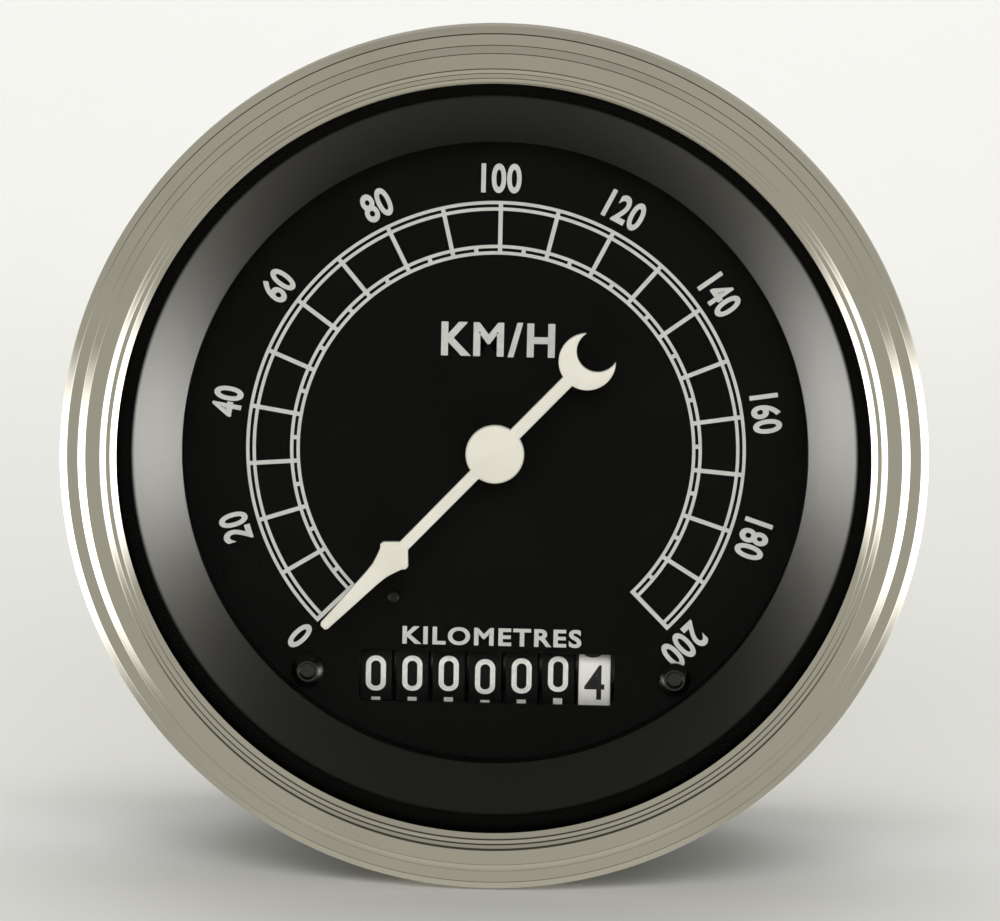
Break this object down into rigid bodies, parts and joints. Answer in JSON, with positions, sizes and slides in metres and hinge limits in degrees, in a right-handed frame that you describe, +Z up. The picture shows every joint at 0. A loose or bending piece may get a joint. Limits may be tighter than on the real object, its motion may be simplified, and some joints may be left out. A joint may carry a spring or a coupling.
{
  "type": "speedometer",
  "caption": "Round dashboard speedometer: chrome bezel, black dial, swinging pointer, odometer drums, rear cable spigot and clamp bracket.",
  "frame": {"origin": "on the case axis, in the plane where the back of the bezel rests on the panel", "axes": "+Z up, to the top of the dial; the dial faces -Y; +X to the right for someone reading it"},
  "size_m": [0.094, 0.0865, 0.094],
  "materials": {
    "chrome": "polished chrome plate",
    "glass": "clear flat glass",
    "black_rubber": "matt",
    "visor_black": "satin black paint",
    "dial_black": "matt black paint with off-white print",
    "black_steel": "blackened steel",
    "case_steel": "grey paint on drawn steel",
    "plated_brass": "machined, dull plating",
    "zinc_casting": "as die-cast",
    "bronze": "sintered bronze",
    "brass": "machined",
    "spring_bronze": "rolled strip",
    "steel": "turned",
    "lamp_plastic": "moulded",
    "bulb_glass": "clear",
    "sheet_steel": "pressed",
    "gear_nylon": "moulded nylon",
    "magnet_black": "sintered magnet",
    "pointer_cream": "cream-white paint",
    "aluminium": "spun",
    "zinc_plate": "passivated zinc plate",
    "drum_black": "moulded, white numbers",
    "drum_white": "moulded, black numbers"
  },
  "bodies": {
    "housing": {"bezel": "chrome", "lens": "glass", "lens_gasket": "black_rubber", "visor": "visor_black", "dial": "dial_black", "dial_screw_left": "black_steel", "dial_screw_right": "black_steel", "stop_pin": "black_steel", "case": "case_steel", "cable_spigot": "plated_brass", "base_frame": "zinc_casting", "rear_bush": "bronze", "front_bridge": "brass", "spindle_bush": "bronze", "hairspring": "spring_bronze", "regulator": "steel", "bridge_screws": "steel", "frame_screws": "steel", "stud_left": "steel", "stud_right": "steel", "lamp_holder_left": "lamp_plastic", "lamp_holder_right": "lamp_plastic", "bulb_left": "bulb_glass", "bulb_right": "bulb_glass", "odo_bracket_left": "sheet_steel", "odo_bracket_right": "sheet_steel", "odo_axle": "steel", "carrier_rod": "steel", "carriers": "sheet_steel"},
    "drive": {"drive_shaft": "steel", "drive_worm": "gear_nylon", "magnet": "magnet_black", "return_cup": "sheet_steel"},
    "cross": {"cross_shaft": "steel", "cross_wheel": "gear_nylon", "cross_worm": "gear_nylon"},
    "long": {"long_shaft": "steel", "long_wheel": "gear_nylon", "long_worm": "gear_nylon"},
    "tenths": {"tenths_gear": "gear_nylon", "drum_7": "drum_white"},
    "number_6": {"drum_6": "drum_black"},
    "number_5": {"drum_5": "drum_black"},
    "number_4": {"drum_4": "drum_black"},
    "number_3": {"drum_3": "drum_black"},
    "number_2": {"drum_2": "drum_black"},
    "number_1": {"drum_1": "drum_black"},
    "transfer_6": {"pinion_6": "gear_nylon"},
    "transfer_5": {"pinion_5": "gear_nylon"},
    "transfer_4": {"pinion_4": "gear_nylon"},
    "transfer_3": {"pinion_3": "gear_nylon"},
    "transfer_2": {"pinion_2": "gear_nylon"},
    "transfer_1": {"pinion_1": "gear_nylon"},
    "needle": {"pointer": "pointer_cream", "spindle": "brass", "drag_cup": "aluminium"},
    "clamp": {"clamp_bracket": "zinc_plate"},
    "left_nut": {"nut_left": "brass"},
    "right_nut": {"nut_right": "brass"}
  },
  "joints": [
    {"name": "drive_spin", "type": "hinge", "parent": "housing", "child": "drive", "pos_m": [0, 0.04, 0], "axis": [0, 1, 0], "continuous": true},
    {"name": "cross_spin", "type": "hinge", "parent": "housing", "child": "cross", "pos_m": [0, 0.0355, -0.0082], "axis": [1, 0, 0], "continuous": true},
    {"name": "long_spin", "type": "hinge", "parent": "housing", "child": "long", "pos_m": [0.018, 0.03, -0.0164], "axis": [0, -1, 0], "continuous": true},
    {"name": "tenths_spin", "type": "hinge", "parent": "housing", "child": "tenths", "pos_m": [0.0113, 0.0135, -0.0246], "axis": [-1, 0, 0], "continuous": true},
    {"name": "number_6_spin", "type": "hinge", "parent": "housing", "child": "number_6", "pos_m": [0.0073, 0.0135, -0.0246], "axis": [-1, 0, 0], "continuous": true},
    {"name": "transfer_6_spin", "type": "hinge", "parent": "housing", "child": "transfer_6", "pos_m": [0.0093, 0.0177, -0.0246], "axis": [-1, 0, 0], "continuous": true},
    {"name": "number_5_spin", "type": "hinge", "parent": "housing", "child": "number_5", "pos_m": [0.0033, 0.0135, -0.0246], "axis": [-1, 0, 0], "continuous": true},
    {"name": "transfer_5_spin", "type": "hinge", "parent": "housing", "child": "transfer_5", "pos_m": [0.0053, 0.0177, -0.0246], "axis": [-1, 0, 0], "continuous": true},
    {"name": "number_4_spin", "type": "hinge", "parent": "housing", "child": "number_4", "pos_m": [-0.0007, 0.0135, -0.0246], "axis": [-1, 0, 0], "continuous": true},
    {"name": "transfer_4_spin", "type": "hinge", "parent": "housing", "child": "transfer_4", "pos_m": [0.0013, 0.0177, -0.0246], "axis": [-1, 0, 0], "continuous": true},
    {"name": "number_3_spin", "type": "hinge", "parent": "housing", "child": "number_3", "pos_m": [-0.0047, 0.0135, -0.0246], "axis": [-1, 0, 0], "continuous": true},
    {"name": "transfer_3_spin", "type": "hinge", "parent": "housing", "child": "transfer_3", "pos_m": [-0.0027, 0.0177, -0.0246], "axis": [-1, 0, 0], "continuous": true},
    {"name": "number_2_spin", "type": "hinge", "parent": "housing", "child": "number_2", "pos_m": [-0.0087, 0.0135, -0.0246], "axis": [-1, 0, 0], "continuous": true},
    {"name": "transfer_2_spin", "type": "hinge", "parent": "housing", "child": "transfer_2", "pos_m": [-0.0067, 0.0177, -0.0246], "axis": [-1, 0, 0], "continuous": true},
    {"name": "number_1_spin", "type": "hinge", "parent": "housing", "child": "number_1", "pos_m": [-0.0127, 0.0135, -0.0246], "axis": [-1, 0, 0], "continuous": true},
    {"name": "transfer_1_spin", "type": "hinge", "parent": "housing", "child": "transfer_1", "pos_m": [-0.0107, 0.0177, -0.0246], "axis": [-1, 0, 0], "continuous": true},
    {"name": "pointer_swing", "type": "hinge", "parent": "housing", "child": "needle", "pos_m": [0, 0, 0], "axis": [0, 1, 0], "range_deg": [-4.3, 344.8], "stiffness_Nm_per_rad": 0.0002},
    {"name": "clamp_slide", "type": "slide", "parent": "housing", "child": "clamp", "axis": [0, 1, 0], "range_m": [0, 0.01]},
    {"name": "left_nut_spin", "type": "hinge", "parent": "clamp", "child": "left_nut", "pos_m": [-0.026, 0.0655, 0], "axis": [0, 1, 0], "continuous": true},
    {"name": "right_nut_spin", "type": "hinge", "parent": "clamp", "child": "right_nut", "pos_m": [0.026, 0.0655, 0], "axis": [0, 1, 0], "continuous": true}
  ],
  "couplings": [
    {"joint": "cross_spin", "follows": "drive_spin", "ratio": 0.1},
    {"joint": "long_spin", "follows": "drive_spin", "ratio": 0.01},
    {"joint": "tenths_spin", "follows": "drive_spin", "ratio": 0.001},
    {"joint": "number_6_spin", "follows": "drive_spin", "ratio": 0.0001},
    {"joint": "transfer_6_spin", "follows": "drive_spin", "ratio": 0.00033333},
    {"joint": "number_5_spin", "follows": "drive_spin", "ratio": 0.00001},
    {"joint": "transfer_5_spin", "follows": "drive_spin", "ratio": 0.000033333},
    {"joint": "number_4_spin", "follows": "drive_spin", "ratio": 0.000001},
    {"joint": "transfer_4_spin", "follows": "drive_spin", "ratio": 0.0000033333},
    {"joint": "number_3_spin", "follows": "drive_spin", "ratio": 0.0000001},
    {"joint": "transfer_3_spin", "follows": "drive_spin", "ratio": 0.00000033333},
    {"joint": "number_2_spin", "follows": "drive_spin", "ratio": 0.00000001},
    {"joint": "transfer_2_spin", "follows": "drive_spin", "ratio": 0.000000033333},
    {"joint": "number_1_spin", "follows": "drive_spin", "ratio": 0.000000001},
    {"joint": "transfer_1_spin", "follows": "drive_spin", "ratio": 0.0000000033333}
  ]
}
